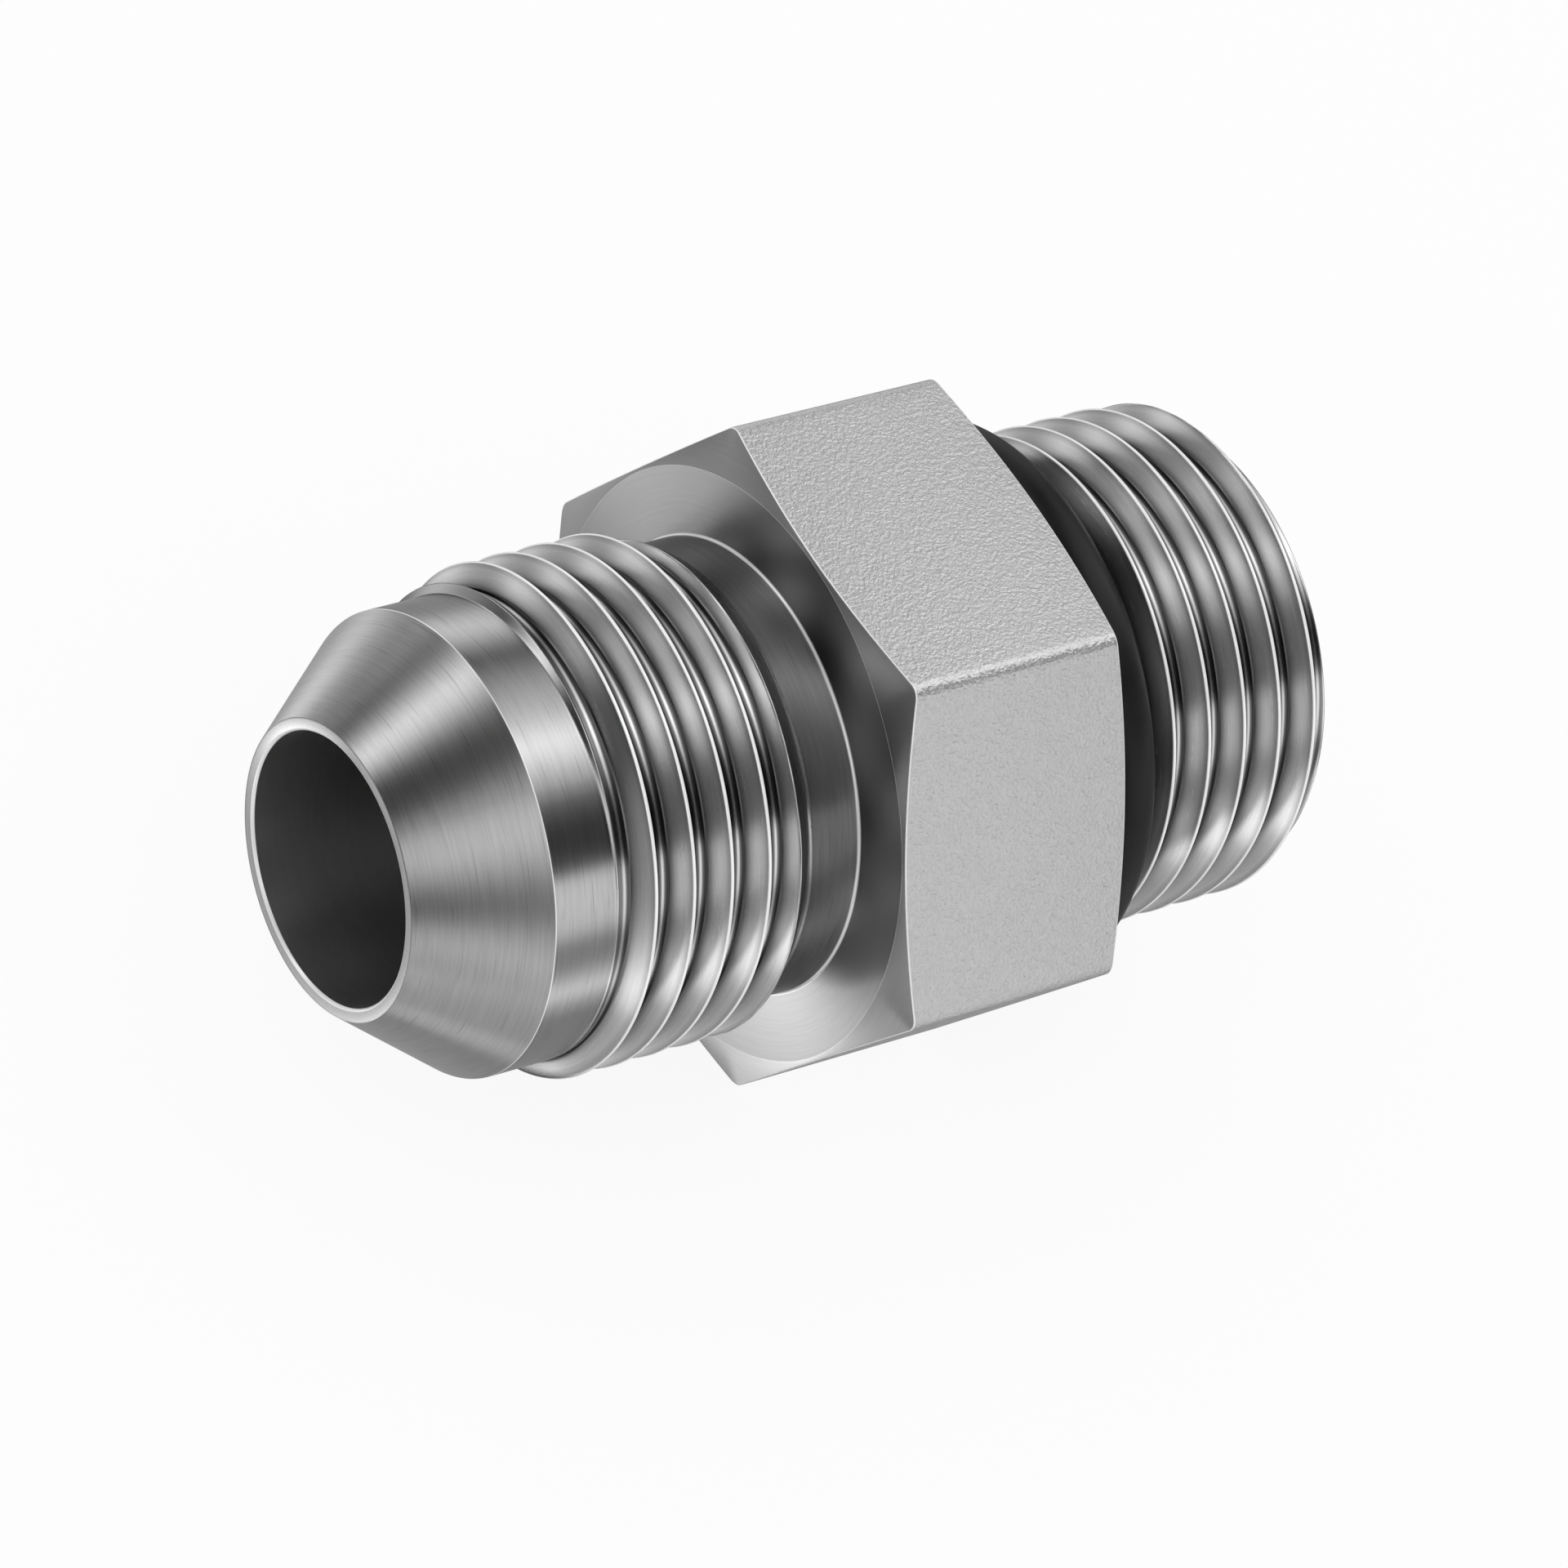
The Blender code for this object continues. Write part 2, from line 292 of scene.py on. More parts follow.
@dataclass(frozen=True)
class SteelFinish:
    """A plated steel finish.

    The edge colour is a painted highlight, put where the piece's "edge" values mark a rounded edge or a
    crest, and the recess colour is painted shade, put where its "recess" values say that a groove lies.
    """

    name: str
    colour: Colour
    roughness: float
    anisotropy: float
    # Painted highlight colour for rounded edges and crests, and painted shade colour for grooves
    painted_highlight_colour: Colour = grey(0.95)
    painted_highlight_metallic: float = 0.2
    painted_shade_colour: Colour = grey(0.02)
    painted_shade_share: float = 0.0
    # Painted light: flank_gain lifts the colour of thread flanks
    flank_gain: float = 0.0
    flank_reach: float = 4.0
    recess_power: float = 3.0
    grazing_tint: float = 1.0
    marks_per_metre: float = 9000.0
    mark_depth: float = 0.0
    streak_share: float = 0.0
    scratch_share: float = 0.0
    grains_per_metre: float = 5000.0
    grain_depth: float = 0.0
    grain_share: float = 0.0
    speck_share: float = 0.0
    # Share of the colour kept where the steel is mirrored in itself; the rest is painted shade
    self_shade: float = 0.3

    def build(self, marks: NodeTree, grain: NodeTree) -> Material:
        """Build the material.

        Args:
            marks: The turning_marks group.
            grain: The surface_grain group.

        Returns:
            The material.
        """
        material = bpy.data.materials.new(self.name)
        material.use_nodes = True
        tree = material.node_tree
        nodes = Nodes(tree)
        shader = tree.nodes["Principled BSDF"]
        place = nodes.add("ShaderNodeTexCoord").outputs["Object"]
        turned = nodes.add("ShaderNodeGroup", {"Vector": place, "Marks per metre": self.marks_per_metre},
                           node_tree=marks)
        grains = nodes.add("ShaderNodeGroup", {"Vector": place, "Grains per metre": self.grains_per_metre},
                           node_tree=grain)
        edge = nodes.add("ShaderNodeAttribute", attribute_name="edge").outputs["Fac"]

        colour = self._colour(nodes, edge, self._tone(nodes, turned, grains))
        tree.links.new(colour, shader.inputs["Base Color"])
        # Painted highlight: marked edges turn less metallic, so the even light shows their pale colour
        tree.links.new(nodes.remap(edge, 0.0, 1.0, 1.0, self.painted_highlight_metallic), shader.inputs["Metallic"])
        uneven = nodes.math("MULTIPLY", nodes.math("SUBTRACT", turned.outputs["Streak"], 0.5),
                            self.streak_share * 0.5)
        roughness = nodes.math("ADD", uneven, self.roughness, clamp=True)
        tree.links.new(roughness, shader.inputs["Roughness"])
        marked = nodes.bump(turned.outputs["Height"], self.mark_depth)
        normal = nodes.bump(grains.outputs["Height"], self.grain_depth, marked)
        tree.links.new(normal, shader.inputs["Normal"])
        shader.inputs["Specular Tint"].default_value = (*grey(self.grazing_tint), 1)
        if self.anisotropy:
            shader.inputs["Anisotropic"].default_value = self.anisotropy
            shader.inputs["Anisotropic Rotation"].default_value = 0.25
            around = nodes.add("ShaderNodeTangent", direction_type="RADIAL", axis="X")
            tree.links.new(around.outputs["Tangent"], shader.inputs["Tangent"])
        return material

    def _tone(self, nodes: Nodes, turned: Node, grains: Node) -> NodeSocket:
        """Vary the base colour with streaks, scratches, specks and grain.

        Args:
            nodes: The material's nodes.
            turned: The turning marks.
            grains: The grain.

        Returns:
            The colour.
        """
        streak = nodes.remap(turned.outputs["Streak"], 0.3, 0.7, 1 - self.streak_share, 1 + self.streak_share)
        scratch = nodes.remap(turned.outputs["Scratch"], 0.0, 1.0, 1.0, 1 - self.scratch_share)
        speck = nodes.remap(grains.outputs["Speck"], 0.0, 1.0, 1.0, 1 - self.speck_share)
        grain = nodes.remap(grains.outputs["Height"], 0.35, 0.65, 1 - self.grain_share, 1 + self.grain_share)
        factor = nodes.math("MULTIPLY", nodes.math("MULTIPLY", streak, scratch),
                            nodes.math("MULTIPLY", speck, grain))
        return nodes.mix_colours(1.0, (*self.colour, 1), factor, "MULTIPLY")

    def _colour(self, nodes: Nodes, edge: NodeSocket,
                tone: NodeSocket) -> NodeSocket:
        """Paint highlights on edges, paint flanks lighter, and paint shade in recesses and self-reflections.

        Args:
            nodes: The material's nodes.
            edge: How much painted highlight each place has.
            tone: The colour of the plain surface.

        Returns:
            The base colour.
        """
        recess = nodes.add("ShaderNodeAttribute", attribute_name="recess").outputs["Fac"]
        # Painted light: flanks' colour is lifted, standing in for their brighter reflections
        on_flank = nodes.math("MULTIPLY", recess, self.flank_reach, clamp=True)
        gain = nodes.math("MULTIPLY_ADD", on_flank, self.flank_gain, 1.0)
        lifted = nodes.mix_colours(1.0, tone, gain, "MULTIPLY")
        # Painted shade: grooves darken towards the recess colour
        deep = nodes.math("MULTIPLY", nodes.math("POWER", recess, self.recess_power), self.painted_shade_share)
        shaded = nodes.mix_colours(deep, lifted, (*self.painted_shade_colour, 1))
        # Painted highlight: edges and crests turn towards the pale edge colour
        highlighted = nodes.mix_colours(edge, shaded, (*self.painted_highlight_colour, 1))
        # Painted shade: what the steel mirrors of itself darkens, except on flanks
        open_share = nodes.math("MULTIPLY", nodes.math("SUBTRACT", 1.0, on_flank), 1 - self.self_shade)
        mirrored = nodes.add("ShaderNodeLightPath").outputs["Is Glossy Ray"]
        return nodes.mix_colours(nodes.math("MULTIPLY", mirrored, open_share), highlighted, (*grey(0), 1))


@dataclass(frozen=True)
class RubberFinish:
    """Smooth black rubber of a moulded ring."""

    name: str = "o_ring_rubber"
    colour: Colour = (0.008, 0.008, 0.009)
    tone_range: tuple[float, float] = (0.8, 1.25)
    roughness_range: tuple[float, float] = (0.37, 0.48)
    sheen: float = 0.25
    grains_per_metre: float = 9000.0
    grain_depth: float = 0.000004

    def build(self, grain: NodeTree) -> Material:
        """Build the material.

        Args:
            grain: The surface_grain group.

        Returns:
            The material.
        """
        material = bpy.data.materials.new(self.name)
        material.use_nodes = True
        tree = material.node_tree
        nodes = Nodes(tree)
        shader = tree.nodes["Principled BSDF"]
        place = nodes.add("ShaderNodeTexCoord").outputs["Object"]
        grains = nodes.add("ShaderNodeGroup", {"Vector": place, "Grains per metre": self.grains_per_metre},
                           node_tree=grain)
        tone = nodes.remap(grains.outputs["Cloud"], 0.3, 0.7, *self.tone_range)
        colour = nodes.mix_colours(1.0, (*self.colour, 1), tone, "MULTIPLY")
        tree.links.new(colour, shader.inputs["Base Color"])
        shader.inputs["Specular IOR Level"].default_value = self.sheen
        roughness = nodes.remap(grains.outputs["Cloud"], 0.3, 0.7, *self.roughness_range)
        tree.links.new(roughness, shader.inputs["Roughness"])
        tree.links.new(nodes.bump(grains.outputs["Height"], self.grain_depth), shader.inputs["Normal"])
        return material


@dataclass
class Ring:
    """One ring of points round the axis, with a value for each column.

    Attributes:
        x: Place of each point along the axis.
        r: Distance of each point from the axis.
        edge: How much painted highlight each point has.
        recess: How deep in a groove each point lies, which sets its painted shade and lighter flanks.
        zone: Finish of the band from this ring to the next.
    """

    x: Array
    r: Array
    edge: Array
    recess: Array
    zone: Zone


@dataclass
class Corner:
    """A corner of the turned outline, whose place is one number or one for each column.

    Attributes:
        x: Place along the axis.
        r: Distance from the axis.
        zone: Finish of the band after this corner.
        radius: Radius that rounds the corner, or 0.
        edge: Brightness of the painted highlight on that radius.
        steps: Steps of that radius.
        recess: How much painted shade the corner holds.
    """

    x: float | Array
    r: float | Array
    zone: Zone = Zone.TURNED
    radius: float = 0.0
    edge: float = 0.0
    steps: int = 4
    recess: float = 0.0


def soft_min(first: Array, second: Array, blend: float) -> Array:
    """Smaller of two profiles, rounded where they differ by less than the blend."""
    near = np.clip(blend - np.abs(first - second), 0, None)
    return np.minimum(first, second) - near**2 / (4 * blend)


def soft_max(first: Array, second: Array, blend: float) -> Array:
    """Larger of two profiles, rounded where they differ by less than the blend."""
    return -soft_min(-first, -second, blend)


@dataclass
class Thread:
    """A straight thread cut by a helical groove.

    The groove's section is straight-flanked with a flat root, and its flanks round into both.
    """

    diameter: float
    root_on_top: float
    pitch: float = 0.0254 / 16
    hand: Hand = Hand.LEFT
    flank_angle: float = math.radians(30)
    crest_share: float = 1 / 16
    root_share: float = 0.335
    crest_blend: float = 0.00005
    root_blend: float = 0.0001
    root_rows: tuple[float, ...] = (0.0, 0.028, 0.05)
    root_edge_rows: tuple[float, ...] = (-0.05, -0.025, -0.008, 0.008, 0.03)
    crest_edge_rows: tuple[float, ...] = (-0.032, -0.02, -0.009, 0.002, 0.016)

    @property
    def radius(self) -> float:
        """Radius across the crests."""
        return self.diameter / 2

    @property
    def depth(self) -> float:
        """Depth of the groove."""
        return (1 - self.crest_share - self.root_share) * self.pitch / 2 / math.tan(self.flank_angle)

    def off_root(self, x: Array, turn: Array) -> Array:
        """Distance along the axis from the middle of the nearest root."""
        turns = (x - self.root_on_top) / self.pitch - self.hand.value * turn / FULL_TURN
        return np.abs(turns - np.round(turns)) * self.pitch

    def groove(self, x: Array, turn: Array) -> Array:
        """Radius that the groove leaves, without the crest's limit.

        Args:
            x: Places along the axis.
            turn: Angles round the axis.

        Returns:
            The radius at each point.
        """
        root_r = self.radius - self.depth
        beyond_root = self.off_root(x, turn) - self.root_share * self.pitch / 2
        flank = root_r + beyond_root / math.tan(self.flank_angle)
        return soft_max(flank, np.full_like(flank, root_r), self.root_blend)

    def rows_in_pitch(self) -> Array:
        """Choose the rows of points of one pitch, close together at each bend.

        Returns:
            The rows' places, in pitches from the middle of a root.
        """
        root_edge = self.root_share / 2
        crest_edge = 0.5 - self.crest_share / 2
        half = [*self.root_rows, *(root_edge + off for off in self.root_edge_rows),
                (root_edge + crest_edge) / 2, *(crest_edge + off for off in self.crest_edge_rows)]
        return np.array([-0.5] + [-share for share in reversed(half[1:])] + half)


@dataclass(frozen=True)
class ThreadHighlightAndShade:
    """Where a thread's crests get a painted highlight and its groove gets painted shade.

    A crest gets the painted highlight where the cut lies between crest_below and crest_above over the
    envelope, and only within rise of the full height. A lower crest has a thin painted bright border,
    and each root a painted bright line in its middle. The painted shade is measured against the local
    depth, and least_depth keeps it off shallow cuts.
    """

    crest_below: float = -0.00005
    crest_above: float = 0.00014
    crest_fade: float = 0.00004
    rise: float = 0.0001
    border: float = 0.00003
    border_share: float = 0.35
    root_line: float = 0.00009
    root_share: float = 0.15
    root_relief: float = 0.5
    least_depth: float = 0.00006
    shallow_share: float = 0.9

    def values(self, thread: Thread, outer: Array, cut: Array, r: Array,
               off_root: Array) -> tuple[Array, Array]:
        """Find the painted highlight and the painted shade.

        Args:
            thread: The thread.
            outer: Radius of the envelope that the thread is cut into.
            cut: Radius that the groove leaves.
            r: Radius of the finished surface.
            off_root: Distance from the middle of the nearest root.

        Returns:
            The painted highlight and the painted shade at each point.
        """
        over = cut - outer
        full = np.clip(1 - (thread.radius - outer) / self.rise, 0, 1)
        # Painted highlight along the crests
        crest = (np.clip((over - self.crest_below) / self.crest_fade, 0, 1)
                 * np.clip((self.crest_above - over) / self.crest_fade, 0, 1))
        # Painted bright border along a crest of less than full height
        border = np.clip(1 - np.abs(over) / self.border, 0, 1)
        # Painted shade in the groove, by how deep each point is cut
        cut_in = np.clip((outer - r) / thread.depth, 0, 1)
        local_depth = np.maximum(outer - (thread.radius - thread.depth), self.least_depth)
        fuller = self.shallow_share + (1 - self.shallow_share) * cut_in
        sunk = np.clip((outer - r) / local_depth, 0, 1) * fuller
        # Painted bright line at each root's middle, which also eases its painted shade
        root_line = np.clip(1 - off_root / self.root_line, 0, 1) * sunk
        edge = crest * full + self.border_share * border * (1 - full) + self.root_share * root_line
        return edge, sunk * (1 - self.root_relief * root_line)


@dataclass
class TurnedMesh:
    """A closed mesh made of rings round the axis, from outlines and threads.

    Its columns are angles round the axis, from 0 to a full turn, both included.
    """

    columns: Array
    rings: list[Ring] = field(default_factory=list)

    def add_ring(self, x: float | Array, r: float | Array, zone: Zone, edge: float = 0.0,
                 recess: float = 0.0) -> None:
        """Add one ring, with single numbers spread over all columns."""
        ones = np.ones_like(self.columns)
        self.rings.append(Ring(x * ones, r * ones, edge * ones, recess * ones, zone))

    def outline(self, corners: list[Corner]) -> None:
        """Add rings along an outline with rounded corners.

        Args:
            corners: Its corners, in order. The first and the last aren't rounded.
        """
        ones = np.ones_like(self.columns)
        points = [np.stack((corner.x * ones, corner.r * ones)) for corner in corners]
        for index, corner in enumerate(corners):
            if not corner.radius or index in (0, len(corners) - 1):
                self.add_ring(*points[index], corner.zone, corner.edge, corner.recess)
                continue
            here = points[index]
            back = points[index - 1] - here
            ahead = points[index + 1] - here
            back /= np.linalg.norm(back, axis=0)
            ahead /= np.linalg.norm(ahead, axis=0)
            half_angle = np.arccos(np.clip((back * ahead).sum(axis=0), -1, 1)) / 2
            middle = (back + ahead) / np.linalg.norm(back + ahead, axis=0)
            centre = here + middle * corner.radius / np.sin(half_angle)
            reach = corner.radius / np.tan(half_angle)
            first = (here + back * reach - centre) / corner.radius
            last = (here + ahead * reach - centre) / corner.radius
            swept = math.pi - 2 * half_angle
            for step in range(corner.steps + 1):
                share = step / corner.steps
                spoke = (first * np.sin((1 - share) * swept) + last * np.sin(share * swept)) / np.sin(swept)
                zone = corner.zone if share >= 0.5 else corners[index - 1].zone
                bend = math.sin(math.pi * share)
                self.add_ring(*(centre + spoke * corner.radius), zone, corner.edge * bend,
                              corner.recess * bend)

    def round_rows(self, first_x: float, last_x: float, spacing: float, shape: RingShape) -> None:
        """Add plain rings along the axis, whose radius a function gives.

        Args:
            first_x: Place of the first ring.
            last_x: Place of the last ring.
            spacing: Largest distance between two rings.
            shape: Function of places and angles that gives a ring.
        """
        count = max(2, math.ceil((last_x - first_x) / spacing) + 1)
        for x in np.linspace(first_x, last_x, count):
            self.rings.append(shape(np.full_like(self.columns, x), self.columns))

    def helical_rows(self, first_x: float, last_x: float, thread: Thread, shape: RingShape) -> None:
        """Add rings that follow a thread's helix, held between two places along the axis.

        Args:
            first_x: Place where the rings start.
            last_x: Place where they end.
            thread: The thread that they follow.
            shape: Function of places and angles that gives a ring.
        """
        lean = thread.hand.value * thread.pitch * self.columns / FULL_TURN
        first_turn = math.floor((first_x - thread.root_on_top) / thread.pitch) - 1
        last_turn = math.ceil((last_x - thread.root_on_top) / thread.pitch) + 1
        for turn in range(first_turn, last_turn + 1):
            for share in thread.rows_in_pitch():
                x = thread.root_on_top + (turn + share) * thread.pitch + lean
                if x.max() > first_x and x.min() < last_x:
                    self.rings.append(shape(np.clip(x, first_x, last_x), self.columns))

    def build(self, name: str, axis_height: float, materials: list[Material],
              weld: float = 0.00000002) -> Object:
        """Make the object, with its last ring joined to the first.

        Args:
            name: Its name.
            axis_height: Height of the axis over the floor.
            materials: Its materials, in the order of Zone.
            weld: Distance within which two points become one.

        Returns:
            The object, with its origin on the axis.
        """
        x = np.stack([ring.x for ring in self.rings])
        r = np.stack([ring.r for ring in self.rings])
        points = np.stack((x, -r * np.sin(self.columns), r * np.cos(self.columns)), axis=-1)
        rows, across = x.shape
        above, left = np.meshgrid(np.arange(rows), np.arange(across - 1), indexing="ij")
        below = (above + 1) % rows
        faces = np.stack((above * across + left, below * across + left, below * across + left + 1,
                          above * across + left + 1), axis=-1).reshape(-1, 4)
        mesh = bpy.data.meshes.new(name)
        mesh.from_pydata(points.reshape(-1, 3).tolist(), [], faces.tolist())
        zones = np.repeat([ring.zone for ring in self.rings], across - 1)
        mesh.polygons.foreach_set("material_index", zones.astype(np.int32))
        for label in ("edge", "recess"):
            values = np.stack([getattr(ring, label) for ring in self.rings]).ravel().astype(np.float32)
            mesh.attributes.new(label, "FLOAT", "POINT").data.foreach_set("value", values)
        for material in materials:
            mesh.materials.append(material)
        work = bmesh.new()
        work.from_mesh(mesh)
        bmesh.ops.remove_doubles(work, verts=work.verts, dist=weld)
        bmesh.ops.recalc_face_normals(work, faces=work.faces)
        work.to_mesh(mesh)
        work.free()
        mesh.shade_smooth()
        thing = bpy.data.objects.new(name, mesh)
        thing.location = (0, 0, axis_height)
        bpy.context.collection.objects.link(thing)
        return thing


@dataclass
class AdapterBody:
    """The one-piece steel body: flare end, hexagon and stud end.

    Places in the methods are counted from the hexagon's front face. The fields that say how bright a
    rounded edge is give the brightness of its painted highlight.
    """

    across_flats: float
    front_x: float
    nose_x: float
    stud_end_x: float
    hex_length: float = 0.00966
    hex_edge_radius: float = 0.0006
    hex_face_radius: float = 0.01095
    hex_chamfer_angle: float = math.radians(15)
    hex_rim_radius: float = 0.00007
    # Painted highlight on the hexagon's rims
    hex_rim_highlight: float = 0.9
    face_edge_radius: float = 0.00006
    # Painted highlight on the faces' edges
    face_edge_highlight: float = 0.8
    bore_radius: float = 0.004975
    nose_mouth: float = 0.0001
    # Painted highlight in the nose's mouth
    nose_mouth_highlight: tuple[float, float] = (0.9, 0.95)
    stud_mouth: float = 0.0004
    stud_mouth_radius: float = 0.0001
    # Painted highlight at the stud's mouth
    stud_mouth_highlight: tuple[float, float] = (0.3, 0.2)
    nose_radius: float = 0.00546
    nose_edge_radius: float = 0.00004
    # Painted highlight on the nose ring
    nose_ring_highlight: float = 0.35
    cone_angle: float = math.radians(37)
    land_radius: float = 0.00845
    land_length: float = 0.0025
    land_edge_radius: float = 0.0001
    # Painted highlight on the land's edge
    land_edge_highlight: float = 0.9
    neck_radius: float = 0.0084
    neck_length: float = 0.00314
    neck_runout_blend: float = 0.0006
    neck_fillet: float = 0.00012
    # Painted highlight on the neck's fillet
    neck_fillet_highlight: float = 0.8
    groove_radius: float = 0.0084
    groove_width: float = 0.0027
    groove_fillet: float = 0.0002
    stud_start_angle: float = math.radians(60)
    flare_thread: Thread = field(default_factory=lambda: Thread(0.01856, -0.00811))
    stud_thread: Thread = field(default_factory=lambda: Thread(0.01856, 0.01428))
    # Painted highlights on the thread crests and painted shade in the grooves
    thread_highlight_and_shade: ThreadHighlightAndShade = ThreadHighlightAndShade()
    chamfer_blend: float = 0.00005
    hair: float = 0.00001
    margin: float = 0.0001
    past_chamfer: float = 0.00008
    row_spacing: float = 0.00003
    start_spacing: float = 0.000022
    turn_step: float = math.radians(2.5)
    edge_columns: tuple[float, ...] = (0.2, 0.5, 0.8, 1)

    @property
    def nose(self) -> float:
        """Place of the nose."""
        return self.nose_x - self.front_x

    @property
    def end(self) -> float:
        """Place of the stud's end."""
        return self.stud_end_x - self.front_x

    @property
    def cone_end(self) -> float:
        """Place where the cone meets the land."""
        return self.nose + (self.land_radius - self.nose_radius) / math.tan(self.cone_angle)

    @property
    def land_end(self) -> float:
        """Place where the land meets the thread's chamfer."""
        return self.cone_end + self.land_length

    @property
    def runout_end(self) -> float:
        """Place where the flare thread's run-out meets the neck."""
        return -self.neck_length + self.flare_thread.radius - self.neck_radius

    @property
    def groove_end(self) -> float:
        """Place where the seal groove meets the stud thread's chamfer."""
        return self.hex_length + self.groove_width

    @property
    def end_chamfer(self) -> float:
        """Place where the chamfer of the stud's end starts."""
        return self.end - (self.stud_thread.radius - self.groove_radius)

    @property
    def rounded_angle(self) -> float:
        """Half the angle round the axis that a rounded long edge of the hexagon takes up."""
        flat_half = self.across_flats / 2
        inner_half = flat_half - self.hex_edge_radius
        return math.pi / 6 - math.atan(inner_half * math.tan(math.pi / 6) / flat_half)

    def columns(self) -> Array:
        """Choose the mesh's columns, even round the turn and closer at the hexagon's corners.

        Returns:
            Their angles, from 0 to a full turn.
        """
        even = np.arange(0, FULL_TURN - 0.000001, self.turn_step)
        spread = self.rounded_angle * np.array([-off for off in reversed(self.edge_columns)]
                                               + list(self.edge_columns))
        corners = math.pi / 6 + math.pi / 3 * np.arange(6)
        near = np.abs(even[:, None] - corners[None, :]).min(axis=1) < self.rounded_angle * 1.3
        return np.sort(np.concatenate((even[~near], (corners[:, None] + spread[None, :]).ravel(),
                                       [FULL_TURN])))

    def hex_radius(self, turn: Array) -> Array:
        """Distance of the hexagon's outline from the axis, with its long edges rounded.

        Args:
            turn: Angles round the axis.

        Returns:
            The distance at each angle.
        """
        off_flat = (turn + math.pi / 6) % (math.pi / 3) - math.pi / 6
        off_corner = math.pi / 6 - np.abs(off_flat)
        flat_half = self.across_flats / 2
        centre = (flat_half - self.hex_edge_radius) / math.cos(math.pi / 6)
        inside = np.clip(self.hex_edge_radius**2 - (centre * np.sin(off_corner))**2, 0, None)
        edge_r = centre * np.cos(off_corner) + np.sqrt(inside)
        return np.where(off_corner < self.rounded_angle, edge_r, flat_half / np.cos(off_flat))

    def flare_envelope(self, x: Array) -> Array:
        """Radius of the flare end from the land to the neck, before its thread is cut.

        Args:
            x: Places along the axis.

        Returns:
            The radius at each place.
        """
        full_r = self.flare_thread.radius
        rise = soft_max(self.land_radius + (x - self.land_end), np.full_like(x, self.land_radius),
                        self.chamfer_blend)
        fall = soft_max(full_r - (x + self.neck_length), np.full_like(x, self.neck_radius),
                        self.neck_runout_blend)
        return soft_min(soft_min(rise, fall, self.chamfer_blend), np.full_like(x, full_r),
                        self.chamfer_blend)

    def stud_envelope(self, x: Array) -> Array:
        """Radius of the stud from the seal groove to its end, before its thread is cut.

        Args:
            x: Places along the axis.

        Returns:
            The radius at each place.
        """
        full_r = self.stud_thread.radius
        rise = soft_max(self.groove_radius + (x - self.groove_end) * math.tan(self.stud_start_angle),
                        np.full_like(x, self.groove_radius), self.chamfer_blend)
        fall = full_r - (x - self.end_chamfer)
        return soft_min(soft_min(rise, fall, self.chamfer_blend), np.full_like(x, full_r),
                        self.chamfer_blend)

    def thread_ring(self, thread: Thread, envelope: Callable[[Array], Array], x: Array,
                    turn: Array) -> Ring:
        """Give a ring of a threaded stretch, where the thread's groove cuts the envelope.

        Args:
            thread: The thread.
            envelope: Function of places that gives the radius before the thread is cut.
            x: Places along the axis.
            turn: Angles round the axis.

        Returns:
            The ring.
        """
        outer = envelope(x)
        cut = thread.groove(x, turn)
        r = soft_min(outer, cut, thread.crest_blend)
        edge, recess = self.thread_highlight_and_shade.values(thread, outer, cut, r, thread.off_root(x, turn))
        return Ring(x, r, edge, recess, Zone.THREAD)

    def _add_nose(self, mesh: TurnedMesh) -> None:
        """Add the nose ring, the cone and the land.

        Args:
            mesh: The body's mesh.
        """
        mouth_r = self.bore_radius + self.nose_mouth
        deep_mouth_highlight, mouth_highlight = self.nose_mouth_highlight
        # The edge values paint highlights on the nose's mouth and ring, and recess paints shade at its outer
        # corner
        mesh.outline([
            Corner(self.nose + self.nose_mouth, self.bore_radius, Zone.FACED, edge=deep_mouth_highlight),
            Corner(self.nose + self.hair, mouth_r - self.hair, Zone.FACED, edge=mouth_highlight),
            Corner(self.nose, mouth_r + 2 * self.hair, Zone.FACED, edge=self.nose_ring_highlight),
            Corner(self.nose, self.nose_radius - self.nose_edge_radius - 3 * self.hair, Zone.FACED,
                   edge=self.nose_ring_highlight),
            Corner(self.nose, self.nose_radius, Zone.TURNED, self.nose_edge_radius, recess=1.0),
            Corner(self.cone_end, self.land_radius, Zone.TURNED, self.land_edge_radius, self.land_edge_highlight),
            Corner(self.land_end - 2 * self.margin, self.land_radius, Zone.TURNED)])

    def _add_flare_thread(self, mesh: TurnedMesh) -> None:
        """Add the flare end's thread, from its chamfer to its run-out over the neck.

        Args:
            mesh: The body's mesh.
        """
        thread = self.flare_thread
        ring = partial(self.thread_ring, thread, self.flare_envelope)
        helix_start = self.land_end + thread.radius - self.land_radius + self.past_chamfer
        helix_end = -self.neck_length - self.margin
        mesh.round_rows(self.land_end - self.margin, helix_start, self.start_spacing, ring)
        mesh.helical_rows(helix_start, helix_end, thread, ring)
        mesh.round_rows(helix_end, self.runout_end + 2 * self.margin, self.row_spacing, ring)

    def _add_hexagon(self, mesh: TurnedMesh) -> None:
        """Add the neck, the hexagon with its turned chamfers, and the seal groove.

        Args:
            mesh: The body's mesh.
        """
        hex_r = self.hex_radius(mesh.columns)
        face_r = self.hex_face_radius
        rim = (hex_r - face_r) * math.tan(self.hex_chamfer_angle)
        back = self.hex_length
